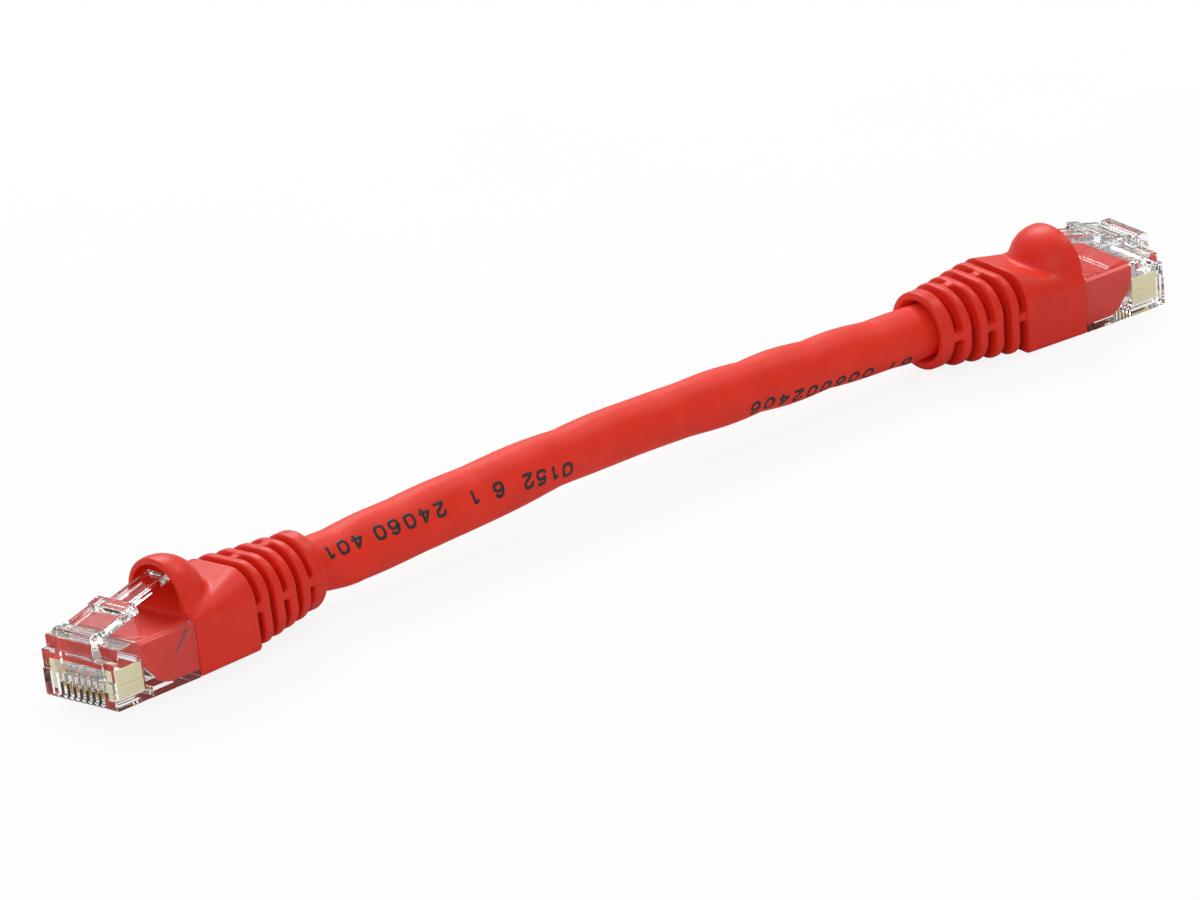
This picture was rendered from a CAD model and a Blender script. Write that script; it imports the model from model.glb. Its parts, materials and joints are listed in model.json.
"""A short patch cord with an eight-contact latching plug at each end, lying on a pale floor.

World frame: metres, z up, floor just under z = 0. Shapes are worked out in millimetres.
Plug frame: x runs from the nose (x = 0) back to the cord, y across, z up from the face
opposite the latch. Places in the cord are distances along it, from plug A's nose to plug B's.
"""
import json
import math

import bmesh
import bpy
import numpy as np
from mathutils import Matrix, Vector

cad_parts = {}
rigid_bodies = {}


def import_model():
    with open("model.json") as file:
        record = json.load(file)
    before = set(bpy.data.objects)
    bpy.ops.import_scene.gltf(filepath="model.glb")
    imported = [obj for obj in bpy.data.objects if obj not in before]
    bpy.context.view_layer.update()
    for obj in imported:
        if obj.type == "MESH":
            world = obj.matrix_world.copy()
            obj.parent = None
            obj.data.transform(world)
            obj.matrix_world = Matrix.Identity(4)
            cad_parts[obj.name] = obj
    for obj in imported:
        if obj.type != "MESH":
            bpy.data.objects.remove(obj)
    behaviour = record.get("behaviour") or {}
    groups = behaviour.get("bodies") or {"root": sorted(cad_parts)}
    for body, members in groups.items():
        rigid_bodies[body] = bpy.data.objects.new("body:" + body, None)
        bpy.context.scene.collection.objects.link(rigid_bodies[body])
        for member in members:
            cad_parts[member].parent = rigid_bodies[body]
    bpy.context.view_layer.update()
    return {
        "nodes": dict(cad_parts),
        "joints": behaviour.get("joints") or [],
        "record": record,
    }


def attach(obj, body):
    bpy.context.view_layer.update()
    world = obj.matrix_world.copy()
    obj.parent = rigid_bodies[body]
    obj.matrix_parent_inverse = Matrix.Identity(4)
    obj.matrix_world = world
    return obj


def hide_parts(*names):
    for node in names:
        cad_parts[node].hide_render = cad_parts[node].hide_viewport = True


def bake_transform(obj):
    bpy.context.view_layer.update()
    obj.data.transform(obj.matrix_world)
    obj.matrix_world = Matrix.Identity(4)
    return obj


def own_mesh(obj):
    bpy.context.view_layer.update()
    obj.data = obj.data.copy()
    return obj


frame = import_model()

MM = 0.001
DEG = math.pi / 180
DIAGONAL = 1.4142

# ---------------------------------------------------------------- driving sizes, mm
PLUG_W, PLUG_H, PLUG_L = 11.68, 6.6, 11.8
BODY_L = 8.6                      # solid front part of the boot, behind the plug
SLOT_PITCH, SLOT_W = 2.1, 0.95    # slots between the boot's ribs
RING_L, RING_R = 1.9, 4.5         # round ring at the back of the boot
BOOT_W = 11.95
BOOT_L = PLUG_L + BODY_L + 5 * SLOT_W + 4 * (SLOT_PITCH - SLOT_W) + RING_L
CORD_Z = RING_R                   # height of the cord's axis in the plug frame
JACKET_R, JACKET_BORE = 3.05, 2.45
CORD = 152.4                      # nose to nose
FREE = CORD - 2 * BOOT_L
SEGMENTS = 12
END_L = 3.0                       # first and last segment
MID_L = (FREE - 2 * END_L) / (SEGMENTS - 2)
END_ROLL = -7.0                   # degrees the cord is rolled at boot A, none at boot B
HINGE_X, HINGE_Z, LATCH_ANGLE = 1.75, 7.25, 14.0
PIN_PITCH = 1.016
PIN_Y = [(3.5 - i) * PIN_PITCH for i in range(8)]
ROW_Z = (2.35, 3.42)              # conductors sit in two rows, alternating pin by pin


# ---------------------------------------------------------------- where the plugs and joints are
def unit(vectors):
    return vectors / np.linalg.norm(vectors, axis=-1, keepdims=True)


mounts = {mount["name"]: mount for mount in frame["record"]["mounts"]}
joints = {joint["name"]: joint for joint in frame["joints"]}


def plug_frame(side):
    """Origin in mm, and a matrix whose columns are the plug's axes."""
    mount = mounts["jack_end_" + side]
    axis_x = unit(-np.array(mount["axis"], float))
    axis_y = unit(np.array(joints["latch_%s_press" % side]["axis"], float))
    axis_z = np.cross(axis_x, axis_y)
    origin = np.array(mount["pos_m"], float) / MM - axis_z * PLUG_H / 2
    return origin, np.stack([axis_x, axis_y, axis_z], 1)


PLUGS = {side: plug_frame(side) for side in "ab"}


def plug_point(side, x, y, z):
    origin, axes = PLUGS[side]
    return origin + axes @ np.array([x, y, z])


def plug_matrix(side):
    origin, axes = PLUGS[side]
    matrix = Matrix.Identity(4)
    for i in range(3):
        for j in range(3):
            matrix[i][j] = axes[i, j]
        matrix[i][3] = origin[i] * MM
    return matrix


# the cord's joints in order from plug A, and the bodies they join
cord_joints = []
body = "plug_a"
while body != "plug_b":
    joint = next(item for item in frame["joints"]
                 if item["parent"] == body and item["name"].startswith("cord"))
    cord_joints.append(joint)
    body = joint["child"]
KNEE_AT = [BOOT_L + END_L + i * MID_L for i in range(SEGMENTS - 1)]

# ---------------------------------------------------------------- centre line of the cord
LEAD = 10.0          # straight run added beyond each nose
SAMPLE = 0.05
SMOOTH_SAMPLES = 50  # samples averaged on each side of a point


def interpolate(at, known, points):
    return np.stack([np.interp(at, known, points[:, i]) for i in range(3)], -1)


def smooth_line(samples):
    """The polyline through the joints, with its corners rounded by a moving average."""
    line = np.array([plug_point("a", BOOT_L, 0, CORD_Z)]
                    + [np.array(joint["pos_m"], float) / MM for joint in cord_joints]
                    + [plug_point("b", BOOT_L, 0, CORD_Z)])
    first = line[0] + unit(line[0] - line[1]) * (BOOT_L + LEAD)
    last = line[-1] + unit(line[-1] - line[-2]) * (BOOT_L + LEAD)
    known = np.array([-LEAD, BOOT_L] + KNEE_AT + [CORD - BOOT_L, CORD + LEAD])
    points = interpolate(samples, known, np.vstack([first, line, last]))
    sums = np.vstack([np.zeros(3), np.cumsum(points, 0)])
    index = np.arange(len(samples))
    low = np.clip(index - SMOOTH_SAMPLES, 0, len(samples))
    high = np.clip(index + SMOOTH_SAMPLES + 1, 0, len(samples))
    return (sums[high] - sums[low]) / (high - low)[:, None]


line_at = np.arange(-LEAD, CORD + LEAD, SAMPLE)
centre_line = smooth_line(line_at)


def centre(along):
    return interpolate(np.asarray(along, float), line_at, centre_line)


def cord_axes(along):
    """Tangent, side (left, looking from plug A) and up of the cord, with its roll."""
    along = np.asarray(along, float)
    tangent = unit(centre(along + 0.4) - centre(along - 0.4))
    side = unit(np.cross(np.array([0.0, 0, 1]), tangent))
    up = np.cross(tangent, side)
    roll = (END_ROLL * (1 - np.clip((along - BOOT_L) / FREE, 0, 1)) * DEG)[..., None]
    return (tangent, np.cos(roll) * side + np.sin(roll) * up,
            np.cos(roll) * up - np.sin(roll) * side)


def smooth_step(t):
    t = np.clip(t, 0, 1)
    return t * t * (3 - 2 * t)


# ---------------------------------------------------------------- the four twisted pairs
# orange, blue, brown, green; the first wire of each pair is the white striped one
PAIR_PINS = [(0, 1), (4, 3), (6, 7), (2, 5)]
PAIR_ANGLE = (0, 90, 180, 270)  # place round the cord, degrees
PAIR_TURNS = (6, 7, 5, 8)
PAIR_R, WIRE_D = 1.49, 0.86
WIRE_GAP = 0.045                # from each wire to its pair's axis
FAN_START, FAN_END = 5.0, 12.2  # wires fan out between these distances from the nose
PAIR_DROP, DROP_FADE = -1.08, 4.2  # pairs lie lower at FAN_END, and rise over this length
# (across, up) detour of each wire half-way through the fan
DETOURS = [[[-0.1, -0.2], [0.1, 0]], [[0.2, -0.3], [-0.5, 0.3]],
           [[-0.4, 0], [0.1, 0.5]], [[-0.1, 0.1], [-0.2, -0.1]]]


def turn(along):
    """Turn of the whole bundle: half a turn from boot to boot."""
    return 180 * smooth_step((along - BOOT_L) / FREE)


def pin_angle(pair, mirror):
    """Direction across a pair's two pins, degrees; mirror is -1 at plug B."""
    first, second = PAIR_PINS[pair]
    rise = ROW_Z[first % 2] - ROW_Z[second % 2]
    return math.degrees(math.atan2(rise, mirror * (PIN_Y[first] - PIN_Y[second])))


def twist(pair, along):
    start, end = pin_angle(pair, 1), pin_angle(pair, -1)
    done = np.clip((along - FAN_END) / (CORD - 2 * FAN_END), 0, 1)
    return start + (360 * PAIR_TURNS[pair] + end - start) * done


def wire_offset(pair, wire, along):
    """(side, up) of a wire from the centre line."""
    near = np.minimum(along, CORD - along)
    pair_angle = (PAIR_ANGLE[pair] + turn(along)) * DEG
    wire_angle = (twist(pair, along) + 180 * wire) * DEG
    wire_r = WIRE_D / 2 + WIRE_GAP
    drop = PAIR_DROP * (1 - smooth_step((near - FAN_END) / DROP_FADE))
    twisted = np.stack([PAIR_R * np.cos(pair_angle) + wire_r * np.cos(wire_angle),
                        PAIR_R * np.sin(pair_angle) + wire_r * np.sin(wire_angle) + drop], -1)
    pin = PAIR_PINS[pair][wire]
    mirror = np.where(along < CORD / 2, 1.0, -1.0)
    in_row = np.stack([mirror * PIN_Y[pin], np.full_like(along, ROW_Z[pin % 2] - CORD_Z)], -1)
    mix = smooth_step((near - FAN_START) / (FAN_END - FAN_START))[:, None]
    across, rise = DETOURS[pair][wire]
    detour = np.stack([mirror * across, np.full_like(along, rise)], -1)
    return in_row * (1 - mix) + twisted * mix + 4 * mix * (1 - mix) * detour


# ---------------------------------------------------------------- meshes and objects
def link(thing):
    bpy.context.scene.collection.objects.link(thing)
    return thing


def add(name, mesh, matrix=None):
    thing = link(bpy.data.objects.new(name, mesh))
    if matrix is not None:
        thing.matrix_world = matrix
    return thing


def new_mesh(name, points, faces, materials, face_material=None, smooth=True, normals=None):
    """Mesh from points in mm; faces are an array of equal polygons, or a list of tuples."""
    mesh = bpy.data.meshes.new(name)
    points = np.asarray(points, float) * MM
    if isinstance(faces, np.ndarray):
        count, sides = faces.shape
        mesh.vertices.add(len(points))
        mesh.vertices.foreach_set("co", points.astype(np.float32).ravel())
        mesh.loops.add(count * sides)
        mesh.loops.foreach_set("vertex_index", faces.astype(np.int32).ravel())
        mesh.polygons.add(count)
        starts = np.arange(0, count * sides, sides, dtype=np.int32)
        mesh.polygons.foreach_set("loop_start", starts)
        mesh.update(calc_edges=True)
    else:
        mesh.from_pydata([tuple(point) for point in points], [],
                         [tuple(int(i) for i in face) for face in faces])
    for material in materials:
        mesh.materials.append(material)
    if face_material is not None:
        mesh.polygons.foreach_set("material_index", np.asarray(face_material, np.int32))
    mesh.polygons.foreach_set("use_smooth", np.full(len(mesh.polygons), bool(smooth)))
    mesh.validate()
    mesh.update()
    if normals is not None:
        mesh.normals_split_custom_set_from_vertices([tuple(normal) for normal in normals])
    return mesh


def merge(parts):
    """Joins (points, faces) parts into one."""
    points, faces, base = [], [], 0
    for part_points, part_faces in parts:
        points.append(part_points)
        faces += [tuple(i + base for i in face) for face in part_faces]
        base += len(part_points)
    return np.vstack(points), faces


def face_outward(mesh):
    work = bmesh.new()
    work.from_mesh(mesh)
    bmesh.ops.recalc_face_normals(work, faces=work.faces)
    work.to_mesh(mesh)
    work.free()


# ---------------------------------------------------------------- signed distances, mm
def span(x, y, z, low, high, corner=0.0):
    """Box from low to high with rounded corners."""
    beyond = [np.abs(value - (start + end) / 2) - ((end - start) / 2 - corner)
              for value, start, end in zip((x, y, z), low, high)]
    out = np.sqrt(sum(np.maximum(value, 0) ** 2 for value in beyond))
    inner = np.maximum(np.maximum(beyond[0], beyond[1]), beyond[2])
    return out + np.minimum(inner, 0) - corner


def section(y, z, width, bottom, top, corner):
    """Rounded rectangle centred on y = 0, running on along x."""
    beyond_y = np.abs(y) - (width / 2 - corner)
    beyond_z = np.abs(z - (bottom + top) / 2) - ((top - bottom) / 2 - corner)
    out = np.sqrt(np.maximum(beyond_y, 0) ** 2 + np.maximum(beyond_z, 0) ** 2)
    return out + np.minimum(np.maximum(beyond_y, beyond_z), 0) - corner


def blend_min(first, second, blend):
    """Union with a fillet."""
    mix = np.clip(0.5 + 0.5 * (second - first) / blend, 0, 1)
    return second * (1 - mix) + first * mix - blend * mix * (1 - mix)


def blend_max(first, second, blend):
    """Intersection with a rounded edge."""
    return -blend_min(-first, -second, blend)


def join(dist, x, y, z, boxes):
    """Adds boxes, each (low, high, corner, blend)."""
    for low, high, corner, blend in boxes:
        dist = blend_min(dist, span(x, y, z, low, high, corner), blend)
    return dist


def carve(dist, x, y, z, boxes):
    """Cuts boxes away, each (low, high, corner, blend)."""
    for low, high, corner, blend in boxes:
        dist = blend_max(dist, -span(x, y, z, low, high, corner), blend)
    return dist


# ---------------------------------------------------------------- a mesh from a distance field
def cell_points(value, inside, cells):
    """Mean of the crossings on each cell's edges, in cell units from the cell's low corner."""
    total, hits = np.zeros((len(cells), 3)), np.zeros(len(cells))
    for corner in np.ndindex(2, 2, 2):
        for axis in range(3):
            if corner[axis]:
                continue
            far = list(corner)
            far[axis] = 1
            start, end = value[tuple((cells + corner).T)], value[tuple((cells + far).T)]
            crosses = (start < 0) != (end < 0)
            point = np.tile(np.array(corner, float), (len(cells), 1))
            point[:, axis] = np.where(crosses, start / np.where(crosses, start - end, 1), 0)
            total += point * crosses[:, None]
            hits += crosses
    return total / hits[:, None]


def cell_quads(inside, index):
    """One quad round each grid edge that crosses the surface."""
    quads = []
    for axis in range(3):
        low, high = [slice(None)] * 3, [slice(None)] * 3
        low[axis], high[axis] = slice(0, -1), slice(1, None)
        start, end = inside[tuple(low)], inside[tuple(high)]
        edges = np.argwhere(start != end)
        second, third = (axis + 1) % 3, (axis + 2) % 3
        whole = np.ones(len(edges), bool)
        for other in (second, third):
            whole &= (edges[:, other] > 0) & (edges[:, other] < inside.shape[other] - 1)
        edges = edges[whole]
        quad = []
        for step_second, step_third in ((-1, -1), (0, -1), (0, 0), (-1, 0)):
            cell = edges.copy()
            cell[:, second] += step_second
            cell[:, third] += step_third
            quad.append(index[tuple(cell.T)])
        quad = np.stack(quad, 1)
        flip = ~start[tuple(edges.T)]
        quad[flip] = quad[flip][:, ::-1]
        quads.append(quad)
    return np.vstack(quads)


def gradient(field, points, reach=0.015):
    slope = np.zeros_like(points)
    for i in range(3):
        shift = np.zeros(3)
        shift[i] = reach
        slope[:, i] = (field(*(points + shift).T) - field(*(points - shift).T)) / (2 * reach)
    return slope


def limit(vectors, longest):
    length = np.linalg.norm(vectors, axis=1)
    return vectors * np.minimum(1, longest / np.maximum(length, 1e-9))[:, None]


def surface(field, low, high, cell):
    """Points, quads and normals of field = 0, the points drawn onto the surface."""
    low, high = np.array(low, float), np.array(high, float)
    count = np.ceil((high - low) / cell).astype(int) + 1
    grid = [low[i] + cell * np.arange(count[i]) for i in range(3)]
    value = field(grid[0][:, None, None], grid[1][None, :, None], grid[2][None, None, :])
    value = np.ascontiguousarray(np.broadcast_to(value, tuple(count)), dtype=np.float32)
    value = np.where(np.abs(value) < 1e-6, 1e-6, value)
    inside = value < 0
    filled = np.zeros(tuple(count - 1), np.int8)
    for i, j, k in np.ndindex(2, 2, 2):
        filled += inside[i:count[0] - 1 + i, j:count[1] - 1 + j, k:count[2] - 1 + k]
    active = (filled > 0) & (filled < 8)
    cells = np.argwhere(active)
    index = np.full(active.shape, -1, np.int64)
    index[active] = np.arange(len(cells))
    start = low + cell * (cells + cell_points(value, inside, cells))
    points = start
    for _ in range(4):
        slope = gradient(field, points)
        steepness = np.maximum((slope * slope).sum(1), 0.2)[:, None]
        step = field(*points.T)[:, None] * slope / steepness
        points = points - limit(step, 0.4 * cell)
        points = start + limit(points - start, 0.7 * cell)
    slope = gradient(field, points)
    normals = slope / np.maximum(np.linalg.norm(slope, axis=1), 1e-6)[:, None]
    return points, cell_quads(inside, index), normals


# ---------------------------------------------------------------- materials
class Nodes:
    """Builds the node tree of a material or world."""

    def __init__(self, owner, output_kind):
        owner.use_nodes = True
        self.tree = owner.node_tree
        self.tree.nodes.clear()
        self.output = self.add(output_kind)

    def add(self, kind, inputs=None, **settings):
        node = self.tree.nodes.new("ShaderNode" + kind)
        for name, value in settings.items():
            setattr(node, name, value)
        self.set(node, inputs or {})
        return node

    def set(self, node, inputs):
        """Each input is given a value, an output socket, or a node for its first output."""
        for socket, value in inputs.items():
            if isinstance(value, bpy.types.Node):
                value = value.outputs[0]
            if isinstance(value, bpy.types.NodeSocket):
                self.tree.links.new(value, node.inputs[socket])
            else:
                node.inputs[socket].default_value = value

    def noise(self, scale, detail=2.0, roughness=0.5, coords=None):
        return self.add("TexNoise", {"Scale": scale, "Detail": detail, "Roughness": roughness,
                                     "Vector": coords or self.coords})

    def ramp(self, factor, low, high, start=0.3, end=0.7):
        node = self.add("ValToRGB", {"Fac": factor})
        first, last = node.color_ramp.elements
        first.position, last.position = start, end
        first.color, last.color = low, high
        return node

    def remap(self, value, limits):
        return self.add("MapRange", {"To Min": limits[0], "To Max": limits[1], "Value": value})

    def bump(self, height, distance):
        return self.add("Bump", {"Distance": distance, "Strength": 1.0, "Height": height})

    def mix(self, factor, first, second):
        return self.add("MixShader", {0: factor, 1: first, 2: second})

    def math(self, operation, first, second):
        return self.add("Math", {0: first, 1: second}, operation=operation)


def new_material(name):
    """Material, its nodes, and its main shader."""
    material = bpy.data.materials.new(name)
    nodes = Nodes(material, "OutputMaterial")
    shader = nodes.add("BsdfPrincipled")
    nodes.set(nodes.output, {"Surface": shader})
    nodes.coords = nodes.add("TexCoord").outputs["Object"]
    return material, nodes, shader


def tint(colour, factor):
    return tuple(min(1, part * factor) for part in colour) + (1,)


def plastic(name, colour, rough, grain=3500.0, grain_height=4e-6, mottle=0.06, subsurface=0.0):
    """Moulded plastic: slightly uneven colour and gloss, and a fine mould grain."""
    material, nodes, shader = new_material(name)
    nodes.set(shader, {
        "Base Color": nodes.ramp(nodes.noise(260, 4, 0.55),
                                 tint(colour, 1 - mottle), tint(colour, 1 + mottle)),
        "Roughness": nodes.remap(nodes.noise(900, 3, 0.6), rough),
        "IOR": 1.5,
        "Specular IOR Level": 0.26,
    })
    height = nodes.math("ADD", nodes.noise(grain), nodes.math("MULTIPLY", nodes.noise(420), 2.0))
    nodes.set(shader, {"Normal": nodes.bump(height, grain_height)})
    if subsurface:
        nodes.set(shader, {"Subsurface Weight": subsurface,
                           "Subsurface Radius": (1.0, 0.25, 0.15),
                           "Subsurface Scale": 0.0006})
    return material


def clear_plastic(name):
    """Clear plastic; shadow and diffuse rays pass, so what is inside it is lit."""
    material, nodes, shader = new_material(name)
    nodes.set(shader, {
        "Base Color": (0.955, 0.945, 0.95, 1),
        "Transmission Weight": 1.0,
        "IOR": 1.42,
        "Roughness": nodes.remap(nodes.noise(700, 3, 0.6), (0.015, 0.06)),
        "Normal": nodes.bump(nodes.noise(350), 8e-6),
    })
    path = nodes.add("LightPath").outputs
    passes = nodes.math("MAXIMUM", path["Is Shadow Ray"], path["Is Diffuse Ray"])
    through = nodes.add("BsdfTransparent", {"Color": (0.94, 0.935, 0.94, 1)})
    nodes.set(nodes.output, {"Surface": nodes.mix(passes, shader, through)})
    return material


def bar_plastic(name):
    """Load bar: nearly clear between its ends, cream at the ends."""
    material, nodes, cream = new_material(name)
    xyz = nodes.add("SeparateXYZ", {0: nodes.coords})
    off_centre = nodes.add("Math", {0: xyz.outputs["Y"]}, operation="ABSOLUTE")
    at_end = nodes.add("MapRange", {"From Min": 0.0037, "From Max": 0.0043,
                                    "Value": off_centre}, interpolation_type="SMOOTHSTEP")
    nodes.set(cream, {
        "Base Color": nodes.ramp(nodes.noise(500, 3, 0.5),
                                 (0.95, 0.89, 0.50, 1), (0.97, 0.92, 0.56, 1)),
        "Roughness": 0.25,
    })
    glassy = nodes.add("BsdfPrincipled", {
        "Base Color": (0.96, 0.95, 0.93, 1),
        "Transmission Weight": 0.85,
        "IOR": 1.35,
        "Roughness": nodes.remap(nodes.noise(800, 3, 0.6), (0.12, 0.22)),
    })
    solid = nodes.mix(at_end, glassy, cream)
    path = nodes.add("LightPath").outputs
    through = nodes.add("BsdfTransparent", {"Color": (0.75, 0.74, 0.70, 1)})
    nodes.set(nodes.output, {"Surface": nodes.mix(path["Is Shadow Ray"], solid, through)})
    return material


def metal(name, colour, rough):
    """Metal with a grain drawn out along x."""
    material, nodes, shader = new_material(name)
    stretched = nodes.add("Mapping", {"Scale": (0.15, 1.0, 1.0), "Vector": nodes.coords})
    brush = nodes.noise(5000.0, 3, 0.6, coords=stretched)
    nodes.set(shader, {
        "Base Color": nodes.ramp(brush, tint(colour, 0.9), tint(colour, 1.08)),
        "Metallic": 1.0,
        "Roughness": nodes.remap(brush, rough),
        "Normal": nodes.bump(brush, 2e-6),
    })
    return material


def printing_ink(name):
    """Ink, slightly broken up as if by the jacket's grain."""
    material, nodes, shader = new_material(name)
    nodes.set(shader, {
        "Base Color": nodes.ramp(nodes.noise(3800, 4, 0.7), (0.012, 0.010, 0.010, 1),
                                 (0.05, 0.02, 0.02, 1), start=0.45, end=0.8),
        "Roughness": nodes.remap(nodes.noise(2500, 3, 0.6), (0.45, 0.65)),
        "Normal": nodes.bump(nodes.noise(5000), 3e-6),
    })
    return material


def floor_material(name):
    """Pale floor that glows nearly white where the camera sees it, also through clear parts."""
    material, nodes, shader = new_material(name)
    nodes.set(shader, {
        "Base Color": nodes.ramp(nodes.noise(40, 3, 0.5),
                                 (0.80, 0.80, 0.805, 1), (0.83, 0.83, 0.835, 1)),
        "Roughness": 0.75,
        "Specular IOR Level": 0.2,
    })
    path = nodes.add("LightPath").outputs
    glow = nodes.add("Emission", {"Strength": 1.0})
    seen = nodes.math("MAXIMUM", path["Is Camera Ray"], path["Is Transmission Ray"])
    share = nodes.math("MULTIPLY", seen, 0.88)
    nodes.set(nodes.output, {"Surface": nodes.mix(share, shader, glow)})
    return material


JACKET = plastic("red_jacket_pvc", (0.82, 0.032, 0.012), rough=(0.46, 0.58), grain=4200,
                 grain_height=5e-6, subsurface=0.05)
BOOT = plastic("red_boot_pvc", (0.76, 0.028, 0.012), rough=(0.36, 0.48), grain=2600,
               grain_height=6e-6, subsurface=0.06)
SEPARATOR = plastic("separator_polyethylene", (0.82, 0.82, 0.80), rough=(0.45, 0.55),
                    grain=2500, mottle=0.03)
CLEAR = clear_plastic("clear_polycarbonate")
BAR = bar_plastic("load_bar_polycarbonate")
GOLD = metal("gold_plate", (0.90, 0.62, 0.25), rough=(0.16, 0.30))
COPPER = metal("bare_copper", (0.86, 0.42, 0.26), rough=(0.25, 0.40))
# white, then one colour for each pair
WIRE_COLOURS = (("white", (0.86, 0.86, 0.84)), ("orange", (0.84, 0.26, 0.03)),
                ("blue", (0.03, 0.10, 0.46)), ("brown", (0.20, 0.08, 0.03)),
                ("green", (0.02, 0.28, 0.07)))
INSULATION = [plastic("insulation_" + name, colour, rough=(0.28, 0.38), grain=3000,
                      grain_height=2e-6, mottle=0.04) for name, colour in WIRE_COLOURS]
INK = printing_ink("black_printing_ink")

# ---------------------------------------------------------------- boot
SLOT_X = [PLUG_L + BODY_L + i * SLOT_PITCH for i in range(5)]
# width, top, bottom, upper and lower corner radius, from the front rib back
RIBS = ((11.5, 9.1, 0.05, 3.6, 2.1), (11.0, 9.05, 0.05, 3.9, 2.6),
        (10.45, 9.0, 0.03, 4.15, 3.2), (9.9, 9.0, 0.0, 4.35, 3.8))
# half width and half height of the web in each slot: flat and upright by turns
UPRIGHT = (0.55, RING_R - 0.15)
WEBS = ((5.45, 0.45), UPRIGHT, (5.1, 0.45), UPRIGHT, (4.62, 0.45))
WEB_REACH = 0.8                       # half length along x
BORE_R = JACKET_R + 0.05
BORE_START = PLUG_L + 4.7
MOUTH_L, MOUTH_FLARE = 1.1, 0.62      # widening of the bore at the boot's back
TONGUE_X, TONGUE_HALF_W = 4.62, 5.2   # the tongue reaches forward into the housing
TONGUE_BOTTOM, TONGUE_TOP = 0.75, 5.95
SLIT_X, SLIT_Z, SLIT_FLANK = 9.0, 3.1, -3.9
SLIT_RUN, SLIT_RISE = 0.669, 0.743    # direction of the slit


def body_slope(x):
    return np.clip((x - 12.05) / 8.15, 0, 1)


def body_top(x):
    return 6.7 + 2.4 * body_slope(x)


def body_field(x, y, z):
    """Solid front part, growing taller and rounder towards the cord."""
    slope, top = body_slope(x), body_top(x)
    corner = np.where(z > top / 2, 0.75 + 2.75 * slope, 0.45 + 0.35 * slope)
    dist = section(y, z, BOOT_W, 0.0, top, corner) * 0.97
    dist = blend_max(dist, PLUG_L + 0.04 - x, 0.16)
    return blend_max(dist, x - (PLUG_L + BODY_L), 0.35)


def tongue_field(x, y, z, grow=0.0):
    """Tongue with a sloped lower front, enlarged by grow; open towards the back."""
    blend = 0.3
    dist = blend_max(TONGUE_X - grow - x, z - (TONGUE_TOP + grow), blend)
    dist = blend_max(dist, TONGUE_BOTTOM - grow - z, blend)
    slope = -((x - (TONGUE_X - grow)) * 2.8 + (z - (3.6 - 0.6 * grow)) * 2.5) / 3.754
    dist = blend_max(dist, slope, 0.83)
    return blend_max(dist, np.abs(y) - (TONGUE_HALF_W + grow), blend)


def slit_field(x, y, z):
    """Slanting slit in the tongue's -y flank, wider towards its upper end."""
    across = -(x - SLIT_X) * SLIT_RISE + (z - SLIT_Z) * SLIT_RUN
    along = (x - SLIT_X) * SLIT_RUN + (z - SLIT_Z) * SLIT_RISE
    slit = np.maximum(np.abs(across) - 0.13 - 0.07 * np.clip(along, 0, 3),
                      np.abs(along - 1.75) - 1.6)
    return np.maximum(slit, y - SLIT_FLANK)


def carve_pair_way(dist, x, y, z):
    """Way for the pairs: flat at the tongue, round where it meets the jacket's bore."""
    part = np.clip((x - 4.3) / (PLUG_L - 4.1), 0, 1)
    half_w, half_h, mid_z = 4.3 - 1.65 * part, 1.25 + 1.15 * part, 2.95 + 0.47 * part
    way = section(y, z, 2 * half_w, mid_z - half_h, mid_z + half_h, 0.3 + 2.05 * part)
    dist = blend_max(dist, -np.maximum(way, x - (PLUG_L + 0.3)), 0.1)
    part = np.clip((x - PLUG_L - 0.2) / 4.4, 0, 1)
    way = np.sqrt(y * y + (z - (3.42 + 1.08 * part)) ** 2) - 2.64
    way = np.maximum(np.maximum(way, PLUG_L + 0.1 - x), x - (PLUG_L + 4.9))
    return blend_max(dist, -way, 0.1)


def boot_field(x, y, z):
    radius = np.sqrt(y * y + (z - CORD_Z) ** 2)
    tongue = blend_max(tongue_field(x, y, z), -slit_field(x, y, z), 0.06)
    tongue = np.maximum(tongue, x - (PLUG_L + 1.0))
    dist = blend_min(body_field(x, y, z), tongue, 0.05)
    for i, (width, top, bottom, upper, lower) in enumerate(RIBS):
        front, back = SLOT_X[i] + SLOT_W, SLOT_X[i + 1]
        rib = section(y, z, width, bottom, top, np.where(z > CORD_Z, upper, lower))
        rib = blend_max(rib, np.abs(x - (front + back) / 2) - (back - front) / 2, 0.42)
        dist = np.minimum(dist, rib)
    ring_mid = SLOT_X[4] + SLOT_W + RING_L / 2
    dist = np.minimum(dist, blend_max(radius - RING_R, np.abs(x - ring_mid) - RING_L / 2, 0.5))
    for slot_x, (half_w, half_h) in zip(SLOT_X, WEBS):
        middle = slot_x + SLOT_W / 2
        dist = join(dist, x, y, z, [((middle - WEB_REACH, -half_w, CORD_Z - half_h),
                                     (middle + WEB_REACH, half_w, CORD_Z + half_h), 0.12, 0.3)])
    dist = blend_max(dist, -blend_max(radius - BORE_R, BORE_START - x, 0.1), 0.12)
    flare = MOUTH_FLARE * (x - (BOOT_L - MOUTH_L)) / MOUTH_L
    mouth = blend_max(radius - (BORE_R + flare), BOOT_L - 1.4 - x, 0.1)
    dist = blend_max(dist, -mouth, 0.25)
    return carve_pair_way(dist, x, y, z)


# hood over the latch: centre, outer and inner radius, and its width against its length
HOODS = {"a": ((12.9, 0.0, 7.95), 4.35, 3.65, 1.05), "b": ((12.1, 0.3, 7.3), 4.3, 3.8, 1.22)}


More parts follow.
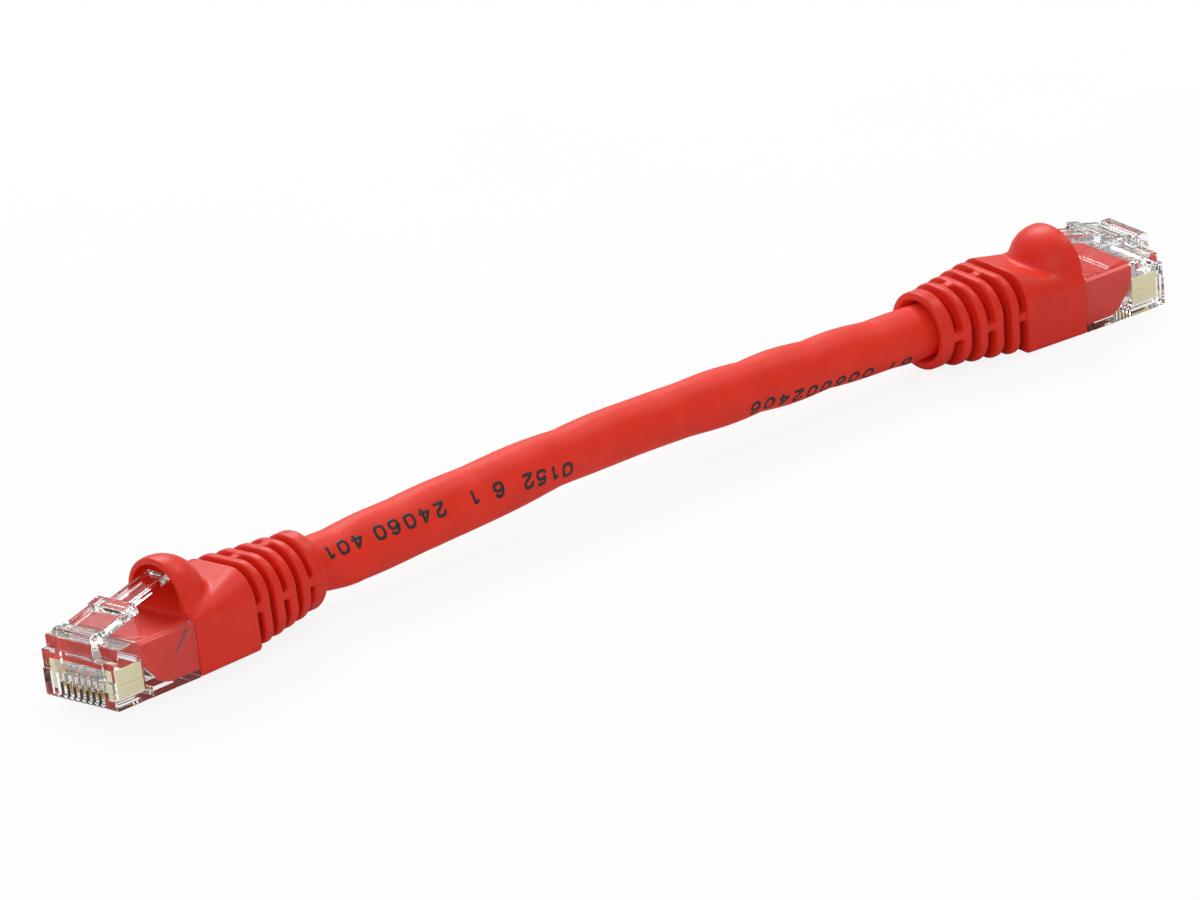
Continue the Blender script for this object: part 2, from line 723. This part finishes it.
def hood_field(side):
    (mid_x, mid_y, mid_z), outer, inner, wide = HOODS[side]

    def field(x, y, z):
        rise = np.where(z > mid_z, z - mid_z, 0.15 * (z - mid_z))
        radius = np.sqrt((x - mid_x) ** 2 + ((y - mid_y) / wide) ** 2 + rise * rise)
        shell = blend_max(radius - outer, inner - radius, 0.16)
        dist = blend_min(shell, body_field(x, y, z) + 0.02, 1.1)
        dist = blend_max(dist, inner - 0.02 - radius, 0.16)
        dist = blend_max(dist, PLUG_L + 0.08 - x, 0.22)
        dist = blend_max(dist, radius - outer - 1.7, 0.25)
        return blend_max(dist, body_top(x) - 1.0 - z, 0.2)
    return field


# ---------------------------------------------------------------- clear housing, latch, load bar
# Box tables hold (low, high, corner, blend). They are measured against |y|, so a box that
# starts at a positive y stands on both sides.
NOSE_CORNERS = [
    ((-2, 3.15, 5.2), (1.1, 8, 9), 0.1, 0.12),       # set-back upper corners
    ((-2, 4.35, 3.2), (0.35, 8, 5.6), 0.08, 0.12),   # steps below them
]
NOSE_RECESSES = [
    ((-2, -2.35, 4.1), (0.3, 2.35, 5.7), 0.2, 0.12),
    ((-2, -4.4, 0.5), (0.22, 4.4, 3.1), 0.12, 0.08),
]
COMB_CUTS = [                                        # y from the contact's own middle
    ((0.5, -0.215, -1), (4.3, 0.215, 1.89), 0.04, 0.06),
    ((-1, -0.215, -1), (0.6, 0.215, 2.9), 0.04, 0.06),
]
BAR_POCKETS = [
    ((0.9, -5.0, 1.79), (4.7, 5.0, 4.3), 0.08, 0.12),
    ((0.9, 4.15, 0.95), (4.7, 5.0, 2.0), 0.06, 0.12),  # for the bar's feet
    ((4.3, -4.4, 1.7), (7.5, 4.4, 4.6), 0.1, 0.12),    # behind the bar
]
WINDOW = [((6.4, -3.1, -2), (9.4, 3.1, 0.55), 0.1, 0.12)]  # in the underside
BEHIND_HINGE = [((HINGE_X, -3.5, 6.65), (HINGE_X + 3, 3.5, 10), 0.05, 0.08)]


def housing_field(x, y, z):
    side = np.abs(y)
    dist = span(x, side, z, (0, -PLUG_W / 2, 0), (PLUG_L, PLUG_W / 2, PLUG_H), 0.16)
    block = span(x, side, z, (0, -3.15, PLUG_H - 0.6), (HINGE_X + 0.6, 3.15, 8.05), 0.14)
    block = blend_max(block, (z - x - 7.7) / DIAGONAL, 0.12)
    dist = blend_min(dist, block, 0.16)
    dist = carve(dist, x, side, z, NOSE_CORNERS)
    dist = blend_max(dist, (side - PLUG_W / 2 - x + 0.25) / DIAGONAL, 0.1)
    dist = blend_max(dist, (-z - x + 0.35) / DIAGONAL, 0.08)
    dist = carve(dist, x, side, z, NOSE_RECESSES)
    for pin_y in PIN_Y:
        dist = carve(dist, x, y - pin_y, z, COMB_CUTS)
    dist = carve(dist, x, side, z, BAR_POCKETS)
    tongue_space = np.maximum(tongue_field(x, y, z, grow=-0.02), x - (PLUG_L + 2))
    dist = blend_max(dist, -tongue_space, 0.12)
    dist = carve(dist, x, side, z, WINDOW)
    # round seat that the latch bends about
    seat = np.maximum(np.sqrt((x - HINGE_X) ** 2 + (z - HINGE_Z) ** 2) - 0.6, side - 3.5)
    dist = blend_max(dist, -seat, 0.08)
    return carve(dist, x, side, z, BEHIND_HINGE)


# the latch lying flat, measured from its hinge
LATCH_BOXES = [
    ((0, -3.0, -0.25), (5.4, 3.0, 0.36), 0.1, 0.2),       # wide front plate
    ((0.7, 2.45, -0.25), (5.4, 3.0, 0.72), 0.1, 0.12),    # its side ribs
    ((3.7, -3.0, -0.2), (5.4, 3.0, 0.95), 0.12, 0.15),    # thick step at its back
    ((5.0, -1.6, -0.2), (11.4, 1.6, 0.3), 0.1, 0.2),      # narrow lever
    ((5.0, 1.12, -0.2), (11.4, 1.6, 0.65), 0.1, 0.1),     # its side ribs
    ((10.9, -1.6, -0.2), (11.4, 1.6, 0.65), 0.12, 0.1),   # lip at its end
]


def latch_field(x, y, z):
    cos, sin = math.cos(LATCH_ANGLE * DEG), math.sin(LATCH_ANGLE * DEG)
    along = cos * (x - HINGE_X) + sin * (z - HINGE_Z)
    rise = -sin * (x - HINGE_X) + cos * (z - HINGE_Z)
    side = np.abs(y)
    dist = blend_max(np.sqrt(along * along + rise * rise) - 0.55, side - 3.0, 0.12)
    return join(dist, along, side, rise, LATCH_BOXES)


BAR_FEET = [((0.95, 4.2, 1.0), (4.55, 4.95, 2.2), 0.1, 0.08)]
BAR_GROOVES = [((-2, 4.83, 2.38), (9, 6, 2.52), 0.02, 0.05)]
BAR_HOLE_R = 0.48


def bar_field(x, y, z):
    side = np.abs(y)
    dist = span(x, side, z, (0.95, -4.95, 1.84), (4.55, 4.95, 4.25), 0.1)
    dist = join(dist, x, side, z, BAR_FEET)
    dist = carve(dist, x, side, z, BAR_GROOVES)
    for i, pin_y in enumerate(PIN_Y):
        hole_z = ROW_Z[i % 2]
        hole = np.sqrt((y - pin_y) ** 2 + (z - hole_z) ** 2) - BAR_HOLE_R
        dist = blend_max(dist, -hole, 0.06)
        # slot from the contact's side up to the hole
        slot = ((1.55, -0.2, 0.9), (3.7, 0.2, hole_z), 0.03, 0.04)
        dist = carve(dist, x, y - pin_y, z, [slot])
    return dist


# ---------------------------------------------------------------- plug pieces
def shape(name, field, low, high, cell, material):
    points, quads, normals = surface(field, low, high, cell)
    return new_mesh(name, points, quads, [material], normals=normals)


boot_mesh = shape("boot_shape", boot_field, (4.2, -6.3, -0.35), (BOOT_L + 0.4, 6.3, 9.5),
                  0.15, BOOT)
hood_mesh = {side: shape("guard_shape_" + side, hood_field(side), (11.5, -6.6, 5.0),
                         (19.8, 6.6, 13.0), 0.12, BOOT) for side in "ab"}
housing_mesh = shape("housing_shape", housing_field, (-0.3, -6.2, -0.3),
                     (PLUG_L + 0.3, 6.2, 8.4), 0.1, CLEAR)
latch_mesh = shape("latch_shape", latch_field, (0.9, -3.3, 6.2), (13.4, 3.3, 11.2), 0.09, CLEAR)
bar_mesh = shape("bar_shape", bar_field, (0.6, -5.3, 0.7), (4.9, 5.3, 4.6), 0.09, BAR)

for side in "ab":
    plug = "plug_" + side
    # object, mesh, slot, node it replaces, body it rides on; the hood comes last
    for name, mesh, slot, replaced, carrier in (
            ("boot_moulding_", boot_mesh, "boot_pvc", "boot_" + side, plug),
            ("clear_housing_", housing_mesh, "clear_polycarbonate", plug + "_housing", plug),
            ("clear_latch_", latch_mesh, "clear_polycarbonate", plug + "_latch",
             "latch_" + side),
            ("load_bar_", bar_mesh, "cream_polycarbonate", plug + "_load_bar", plug),
            ("snag_guard_hood_", hood_mesh[side], "boot_pvc", "snag_guard_" + side, plug)):
        piece = add(name + side, mesh, plug_matrix(side))
        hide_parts(replaced)
        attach(piece, carrier)
    # the hood gives way when the latch is pressed
    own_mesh(piece)
    for i in range(1, 9):
        contact = frame["nodes"]["%s_contact_%d" % (plug, i)]
        contact.data.materials.clear()
        contact.data.materials.append(GOLD)
        bevel = contact.modifiers.new("edge", "BEVEL")
        bevel.width = 0.03 * MM
        bevel.segments = 2
        bevel.limit_method = "ANGLE"
        bevel.angle_limit = 40 * DEG

# ---------------------------------------------------------------- spans of the cord
# cut where one joint's bend hands over to the next
cuts = [BOOT_L + 0.25]
for knee, joint in zip(KNEE_AT[:-1], cord_joints):
    cuts.append(knee + MID_L * (0.64 if joint["name"].startswith("cord_side") else 0.36))
cuts.append(CORD - BOOT_L - 0.25)
SPANS = [(None, cuts[0])] + list(zip(cuts[:-1], cuts[1:])) + [(cuts[-1], None)]


def hang(thing, k):
    """The first and last span ride on the plugs; each one between bends across its joint."""
    if k == 0:
        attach(thing, "plug_a")
    elif k == len(SPANS) - 1:
        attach(thing, "plug_b")
    else:
        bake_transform(thing)


def stations(k, inset, step):
    """Places along span k; the cord's two ends stop short of the noses by inset."""
    start, end = SPANS[k]
    start = inset if start is None else start
    end = CORD - inset if end is None else end
    return np.linspace(start, end, max(2, int(math.ceil((end - start) / step)) + 1))


def circle(count):
    return np.linspace(0, 2 * math.pi, count, endpoint=False)


def rings(middle, first, second, angle, radius):
    """A ring of points round each middle, in the plane of first and second."""
    ray = np.cos(angle)[..., None] * first[:, None] + np.sin(angle)[..., None] * second[:, None]
    return middle[:, None] + radius * ray


def wall_quads(rows, count):
    i, j = np.meshgrid(np.arange(rows - 1), np.arange(count), indexing="ij")
    after = (j + 1) % count
    return np.stack([i * count + j, i * count + after,
                     (i + 1) * count + after, (i + 1) * count + j], -1).reshape(-1, 4)


def tube_faces(points, rows, count):
    """Outer wall, inner wall and both ends; points hold the outer rings, then the inner."""
    wall = wall_quads(rows, count)
    inner = rows * count
    near = np.arange(count)
    after = (near + 1) % count
    end = (rows - 1) * count
    faces = np.vstack([
        wall, (wall + inner)[:, ::-1],
        np.stack([near, inner + near, inner + after, after], -1),
        np.stack([end + near, end + after, inner + end + after, inner + end + near], -1)])
    first, second, third, fourth = (points[faces[:, i]] for i in range(4))
    volume = (first * np.cross(second, third)).sum() + (first * np.cross(third, fourth)).sum()
    return faces if volume > 0 else faces[:, ::-1]


# ---------------------------------------------------------------- jacket
JACKET_START = PLUG_L + 4.85
JACKET_STEP = 0.36
JACKET_SIDES = 112
SAG_ANGLE = 235 * DEG  # low on the right, looking from plug A
# depth, start, length of rise, end, length of fall; places are from the back of boot A
SAGS = ((0.85, 0.5, 6.0, 44.0, 26.0), (0.25, 48.0, 12.0, FREE - 8.0, 14.0))


def angle_between(first, second):
    return np.angle(np.exp(1j * (first - second)))


def jacket_radius(along, angle):
    """Outer radius, pushed out where a pair's wires stand radially, and sagging a little."""
    bulge = 0
    for pair in range(4):
        pair_angle = (PAIR_ANGLE[pair] + turn(along)) * DEG
        wire_angle = twist(pair, along) * DEG
        reach = np.exp(-((angle_between(angle, pair_angle) / 0.62) ** 2))
        bulge = bulge + reach * (np.abs(np.cos(wire_angle - pair_angle)) - 0.62)
    fade = smooth_step((along - BOOT_L - 0.5) / 3.0)
    fade = fade * smooth_step((CORD - BOOT_L - 0.5 - along) / 3.0)
    past = along - BOOT_L
    sag = sum(depth * smooth_step((past - start) / rise) * smooth_step((end - past) / fall)
              for depth, start, rise, end, fall in SAGS)
    sag = sag * np.exp(-((angle_between(angle, SAG_ANGLE) / 0.95) ** 2))
    return JACKET_R + fade * (0.26 * bulge - 0.01) + sag


def bore_radius(along, angle):
    return np.full_like(along, JACKET_BORE)


def skin_points(along, angle, radius):
    along_grid, angle_grid = np.meshgrid(along, angle, indexing="ij")
    _, side, up = cord_axes(along)
    return rings(centre(along), side, up, angle_grid, radius(along_grid, angle_grid)[..., None])


def skin_normals(along, angle, radius):
    """Normals of the true surface, pointing away from the centre line."""
    by_along = skin_points(along + 0.05, angle, radius) - skin_points(along - 0.05, angle, radius)
    by_angle = skin_points(along, angle + 0.01, radius) - skin_points(along, angle - 0.01, radius)
    normal = unit(np.cross(by_angle, by_along))
    out = skin_points(along, angle, radius) - centre(along)[:, None]
    return (normal * np.sign((normal * out).sum(-1, keepdims=True))).reshape(-1, 3)


def jacket_mesh(name, along):
    angle = circle(JACKET_SIDES)
    points = np.vstack([skin_points(along, angle, radius).reshape(-1, 3)
                        for radius in (jacket_radius, bore_radius)])
    faces = tube_faces(points, len(along), JACKET_SIDES)
    normals = np.vstack([skin_normals(along, angle, jacket_radius),
                         -skin_normals(along, angle, bore_radius)])[faces]
    tangent = cord_axes(along)[0]
    normals[-2 * JACKET_SIDES:-JACKET_SIDES] = -tangent[0]
    normals[-JACKET_SIDES:] = tangent[-1]
    mesh = new_mesh(name, points, faces, [JACKET])
    mesh.normals_split_custom_set([tuple(normal) for normal in normals.reshape(-1, 3)])
    return mesh


for k in range(len(SPANS)):
    along = stations(k, JACKET_START, JACKET_STEP)
    piece = add("jacket_span_%02d" % k, jacket_mesh("jacket_shape_%02d" % k, along))
    lengths = {min(max(k - 1, 0), SEGMENTS - 1), min(k, SEGMENTS - 1)}
    replaced = ["jacket_length_%02d" % (i + 1) for i in sorted(lengths)]
    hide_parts(*replaced)
    hang(piece, k)

# ---------------------------------------------------------------- conductors
INSULATION_START, COPPER_START = 1.12, 1.0
WIRE_STEP = 0.4
INSULATION_SIDES, INSULATION_BORE = 16, 0.345
STRIPES = (4, 5, 11)             # faces round a white wire that carry the pair's colour
COPPER_SIDES, STRANDS = 28, 7
COPPER_R, STRAND_DEPTH = 0.285, 0.035
STRAND_LAY = 0.9                 # radians per mm


def wire_path(pair, wire, along):
    """Middle of a wire, and two axes across it that turn with its pair."""
    _, side, up = cord_axes(along)
    offset = wire_offset(pair, wire, along)
    middle = centre(along) + offset[:, :1] * side + offset[:, 1:] * up
    angle = (twist(pair, along) * DEG)[:, None]
    return (middle, np.cos(angle) * side + np.sin(angle) * up,
            -np.sin(angle) * side + np.cos(angle) * up)


def insulation_part(pair, wire, along):
    path = wire_path(pair, wire, along)
    angle = circle(INSULATION_SIDES)[None]
    points = np.vstack([rings(*path, angle, radius).reshape(-1, 3)
                        for radius in (WIRE_D / 2, INSULATION_BORE)])
    return points, tube_faces(points, len(along), INSULATION_SIDES)


def insulation_colours(wire, pair, rows, count):
    """Material of each face: the second wire is plain, the first white with stripes."""
    if wire == 1:
        return np.full(count, 1 + pair)
    colours = np.zeros(count, int)
    stripe = np.isin(np.arange(INSULATION_SIDES), STRIPES)
    colours[:(rows - 1) * INSULATION_SIDES] = np.where(np.tile(stripe, rows - 1), 1 + pair, 0)
    return colours


def copper_part(pair, wire, along):
    """Stranded core: a fluted rod whose flutes wind along it, closed by a fan at each end."""
    middle, first, second = wire_path(pair, wire, along)
    around = circle(COPPER_SIDES)
    radius = COPPER_R + STRAND_DEPTH * np.cos(STRANDS * around)
    angle = around[None] + (along * STRAND_LAY)[:, None]
    wall_points = rings(middle, first, second, angle, radius[:, None]).reshape(-1, 3)
    points = np.vstack([wall_points, middle[:1], middle[-1:]])
    rows = len(along)
    quads = wall_quads(rows, COPPER_SIDES)
    near = np.arange(COPPER_SIDES)
    after = (near + 1) % COPPER_SIDES
    hub, end = rows * COPPER_SIDES, (rows - 1) * COPPER_SIDES
    faces = [tuple(quad) for quad in quads]
    faces += [(i, hub, j) for i, j in zip(near, after)]
    faces += [(end + i, end + j, hub + 1) for i, j in zip(near, after)]
    corner, beside, across = (points[quads[:, i]] for i in range(3))
    out = corner - np.repeat(middle[:-1], COPPER_SIDES, 0)
    outward = (np.cross(beside - corner, across - corner) * out).sum() > 0
    return points, faces if outward else [face[::-1] for face in faces]


WIRES = [(pair, wire) for pair in range(4) for wire in (0, 1)]
wire_nodes = [name for name in frame["nodes"] if name.startswith("insulation_")]
copper_nodes = [name for name in frame["nodes"] if name.startswith("copper_")]
for k in range(len(SPANS)):
    along = stations(k, INSULATION_START, WIRE_STEP)
    parts = [insulation_part(pair, wire, along) for pair, wire in WIRES]
    colours = np.concatenate([insulation_colours(wire, pair, len(along), len(part[1]))
                              for (pair, wire), part in zip(WIRES, parts)])
    mesh = new_mesh("conductors_shape_%02d" % k, *merge(parts), INSULATION, colours)
    piece = add("conductors_span_%02d" % k, mesh)
    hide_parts(*wire_nodes)
    hang(piece, k)

    along = stations(k, COPPER_START, WIRE_STEP)
    points, faces = merge([copper_part(pair, wire, along) for pair, wire in WIRES])
    mesh = new_mesh("copper_shape_%02d" % k, points, faces, [COPPER], np.zeros(len(faces), int))
    piece = add("copper_span_%02d" % k, mesh)
    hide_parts(*copper_nodes)
    hang(piece, k)

# ---------------------------------------------------------------- cross-shaped separator
SEPARATOR_START = PLUG_L + 5.2
SEPARATOR_STEP = 0.5
ARM_HALF, ARM_R, ARM_BEVEL = 0.12, 2.28, 0.05
# one arm's outline, starting at the inner corner it shares with the arm before
ARM = ((ARM_HALF, ARM_HALF), (ARM_R - ARM_BEVEL, ARM_HALF), (ARM_R, ARM_HALF - ARM_BEVEL),
       (ARM_R, ARM_BEVEL - ARM_HALF), (ARM_R - ARM_BEVEL, -ARM_HALF))
cross = []
for i in range(4):
    angle = -i * 90 * DEG
    cross += [(x * math.cos(angle) - y * math.sin(angle),
               x * math.sin(angle) + y * math.cos(angle)) for x, y in ARM]
cross = np.array(cross)


def separator_faces(rows):
    count = len(cross)
    faces = []
    for i in range(rows - 1):
        for j in range(count):
            after = (j + 1) % count
            faces.append((i * count + j, (i + 1) * count + j,
                          (i + 1) * count + after, i * count + after))
    hub_and_arms = [[0, 5, 10, 15]]
    hub_and_arms += [[(5 * i + j) % count for j in range(6)] for i in range(4)]
    for end, order in ((0, 1), ((rows - 1) * count, -1)):
        faces += [tuple(end + j for j in cap)[::order] for cap in hub_and_arms]
    return faces


for k in range(len(SPANS)):
    along = stations(k, SEPARATOR_START, SEPARATOR_STEP)
    _, side, up = cord_axes(along)
    angle = ((45 + turn(along)) * DEG)[:, None]
    first = np.cos(angle) * side + np.sin(angle) * up
    second = -np.sin(angle) * side + np.cos(angle) * up
    points = (centre(along)[:, None] + cross[None, :, 0:1] * first[:, None]
              + cross[None, :, 1:2] * second[:, None]).reshape(-1, 3)
    mesh = new_mesh("separator_shape_%02d" % k, points, separator_faces(len(along)),
                    [SEPARATOR], smooth=False)
    face_outward(mesh)
    piece = add("separator_span_%02d" % k, mesh)
    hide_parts("pair_separator")
    hang(piece, k)

# ---------------------------------------------------------------- printed figures
# control points of each figure's stroke in a box 1 wide and 1.5 high, and whether it closes
FIGURES = {
    "0": ([(0.5, 1.5), (0.18, 1.42), (0.04, 1.1), (0.04, 0.4), (0.18, 0.08), (0.5, 0.0),
           (0.82, 0.08), (0.96, 0.4), (0.96, 1.1), (0.82, 1.42)], True),
    "1": ([(0.2, 1.18), (0.56, 1.5), (0.56, 0.0)], False),
    "2": ([(0.06, 1.08), (0.12, 1.4), (0.5, 1.52), (0.88, 1.4), (0.94, 1.05), (0.75, 0.75),
           (0.3, 0.4), (0.06, 0.02), (0.06, 0.0), (0.96, 0.0)], False),
    "4": ([(0.98, 0.42), (0.04, 0.42), (0.04, 0.48), (0.66, 1.5), (0.72, 1.5),
           (0.72, 0.0)], False),
    "5": ([(0.9, 1.48), (0.2, 1.48), (0.2, 1.44), (0.1, 0.82), (0.12, 0.8), (0.5, 1.0),
           (0.9, 0.85), (0.98, 0.35), (0.8, 0.02), (0.35, -0.02), (0.04, 0.25)], False),
    "6": ([(0.9, 1.3), (0.6, 1.54), (0.25, 1.42), (0.06, 1.0), (0.04, 0.4), (0.18, 0.05),
           (0.55, -0.02), (0.92, 0.15), (0.96, 0.6), (0.75, 0.9), (0.35, 0.92),
           (0.06, 0.6)], False),
}
FIGURE_W, FIGURE_H, STROKE = 1.25, 1.75, 0.37
INK_CROWN, INK_EDGE, INK_DEPTH = 0.016, 0.010, 0.04  # above and below the jacket's surface
# place of each group from the back of boot A, its figures, and their spacing
MARKS = [(1.2, "401", 2.0), (8.7, "24060", 2.15), (21.9, "61", 2.2), (29.7, "0152", 1.9),
         (61.7, "006002406", 2.1), (82.4, "61", 2.0)]
LEAST_SPACING = 1.85
CUT_CLEARANCE = FIGURE_W / 2 + STROKE * 0.75


def figure(character):
    """Stroke of a figure with its corners rounded, mm about its own middle."""
    points, closed = FIGURES[character]
    points = np.array(points, float)
    for _ in range(2):
        if closed:
            start, end = points, np.roll(points, -1, 0)
        else:
            start, end = points[:-1], points[1:]
        cut = np.stack([0.75 * start + 0.25 * end, 0.25 * start + 0.75 * end], 1)
        cut = cut.reshape(-1, 2)
        points = cut if closed else np.vstack([points[:1], cut, points[-1:]])
    kept = [0]
    for i in range(1, len(points)):
        if np.linalg.norm(points[i] - points[kept[-1]]) > 0.02:
            kept.append(i)
    points = points[kept]
    return np.stack([(points[:, 0] - 0.5) * FIGURE_W,
                     (points[:, 1] / 1.5 - 0.5) * (FIGURE_H - STROKE)], 1), closed


def print_angle(along):
    """Place of the print round the jacket, degrees: on the right, looking from plug A."""
    return np.interp(along - BOOT_L, [5.3, 16.4, 27.0, 36.9, 72.4, 85.4],
                     [150.0, 160.0, 172.0, 191.0, 213.3, 219.4])


def ribbon(points, closed, place):
    """One stroke of ink as a thin closed solid lying on the jacket."""
    if closed:
        before, after = np.roll(points, 1, 0), np.roll(points, -1, 0)
    else:
        before, after = np.vstack([points[:1], points[:-1]]), np.vstack([points[1:], points[-1:]])
    tangent = unit(after - before)
    across = np.stack([-tangent[:, 1], tangent[:, 0]], 1)
    if not closed:
        points = points.copy()
        points[0] -= tangent[0] * STROKE * 0.35
        points[-1] += tangent[-1] * STROKE * 0.35
    tops, bottoms = [], []
    for offset, lift in ((-0.5, INK_EDGE), (0.0, INK_CROWN), (0.5, INK_EDGE)):
        flat = points + across * offset * STROKE
        along = place - flat[:, 0]
        angle = print_angle(np.full_like(along, place)) * DEG + flat[:, 1] / JACKET_R
        _, side, up = cord_axes(along)
        ray = np.cos(angle)[:, None] * side + np.sin(angle)[:, None] * up
        radius = jacket_radius(along, angle)
        tops.append(centre(along) + ray * (radius + lift)[:, None])
        bottoms.append(centre(along) + ray * (radius - INK_DEPTH)[:, None])
    count = len(points)
    faces = []
    for i in range(count if closed else count - 1):
        after = (i + 1) % count
        for row in range(5):
            beside = (row + 1) % 5
            faces.append((row * count + i, row * count + after,
                          beside * count + after, beside * count + i))
    if not closed:
        faces.append(tuple(row * count for row in range(5)))
        faces.append(tuple(row * count + count - 1 for row in range(4, -1, -1)))
    return np.vstack(tops + [bottoms[2], bottoms[0]]), faces


def settled(places):
    """The places moved clear of the cuts and of each other, furthest from plug A first."""
    out, last = [], -math.inf
    for place in sorted(places):
        place = max(place, last + LEAST_SPACING)
        for cut in cuts:
            if cut - CUT_CLEARANCE < place < cut + CUT_CLEARANCE:
                place = cut + CUT_CLEARANCE
        out.append(place)
        last = place
    return out[::-1]


def unevenness(places, wanted):
    return float(np.max(np.abs(np.array(places) - wanted)) + np.ptp(np.diff(places)))


ink_parts = {}
for start, text, spacing in MARKS:
    wanted = BOOT_L + start + (len(text) - np.arange(len(text)) - 0.5) * spacing
    tries = [settled(wanted + shift) for shift in np.linspace(-1.1, 1.1, 45)]
    places = min(tries, key=lambda places: unevenness(places, wanted))
    for character, place in zip(text, places):
        k = sum(place > cut for cut in cuts)
        ink_parts.setdefault(k, []).append(ribbon(*figure(character), float(place)))
for k, parts in ink_parts.items():
    mesh = new_mesh("print_shape_%02d" % k, *merge(parts), [INK])
    face_outward(mesh)
    piece = add("printed_marks_%02d" % k, mesh)
    hang(piece, k)

# ---------------------------------------------------------------- floor, world and lights
FLOOR_HALF, FLOOR_Z = 3000.0, -0.02
floor_corners = [(x * FLOOR_HALF, y * FLOOR_HALF, FLOOR_Z)
                 for x, y in ((-1, -1), (1, -1), (1, 1), (-1, 1))]
floor = add("floor", new_mesh("floor", floor_corners, [(0, 1, 2, 3)],
                              [floor_material("pale_floor")], smooth=False))

# world: grey at and below the horizon, white overhead
world = bpy.data.worlds.new("studio")
bpy.context.scene.world = world
sky = Nodes(world, "OutputWorld")
background = sky.add("Background", {"Strength": 0.66})
direction = sky.add("SeparateXYZ", {"Vector": sky.add("TexCoord").outputs["Generated"]})
sky.set(background, {"Color": sky.ramp(direction.outputs["Z"], (0.42, 0.42, 0.43, 1),
                                       (1.0, 1.0, 1.0, 1), start=0.0, end=0.85)})
sky.set(sky.output, {"Surface": background})


def softbox(name, place, size, power):
    """Rectangular light aimed at the world's origin; metres and watts."""
    light = bpy.data.lights.new(name, "AREA")
    light.shape = "RECTANGLE"
    light.size, light.size_y = size
    light.energy = power
    lamp = link(bpy.data.objects.new(name, light))
    lamp.location = place
    lamp.rotation_euler = (-Vector(place)).to_track_quat("-Z", "Y").to_euler()


softbox("key_softbox", place=(0.27, 0.53, 0.50), size=(0.40, 0.26), power=3.0)
softbox("top_softbox", place=(0.47, 0.0, 0.65), size=(0.07, 0.12), power=1.0)
softbox("fill_softbox", place=(-0.60, -0.45, 0.40), size=(0.45, 0.35), power=1.3)

# ---------------------------------------------------------------- camera
AZIMUTH, ELEVATION, ROLL = -39.95 * DEG, 23.23 * DEG, -3.25 * DEG
TARGET = Vector((5.71, 10.29, 0))
DISTANCE = 1185.68
back = Vector((math.sin(AZIMUTH) * math.cos(ELEVATION),
               -math.cos(AZIMUTH) * math.cos(ELEVATION), math.sin(ELEVATION)))
level = (-back).cross(Vector((0, 0, 1))).normalized()
upright = level.cross(-back)
right = math.cos(ROLL) * level + math.sin(ROLL) * upright
up = -math.sin(ROLL) * level + math.cos(ROLL) * upright
location = TARGET * MM + back * DISTANCE * MM

lens = bpy.data.cameras.new("camera")
lens.sensor_fit = "HORIZONTAL"
lens.sensor_width = 36.0
lens.lens = 324.69
lens.clip_start, lens.clip_end = 0.01, 20
camera = link(bpy.data.objects.new("camera", lens))
matrix = Matrix.Identity(4)
for i in range(3):
    matrix[i][0], matrix[i][1], matrix[i][2], matrix[i][3] = right[i], up[i], back[i], location[i]
camera.matrix_world = matrix

scene = bpy.context.scene
scene.camera = camera
scene.view_settings.view_transform = "Standard"
scene.view_settings.look = "None"
scene.cycles.max_bounces = 20
scene.cycles.transmission_bounces = 20
scene.cycles.transparent_max_bounces = 24

bpy.context.view_layer.update()
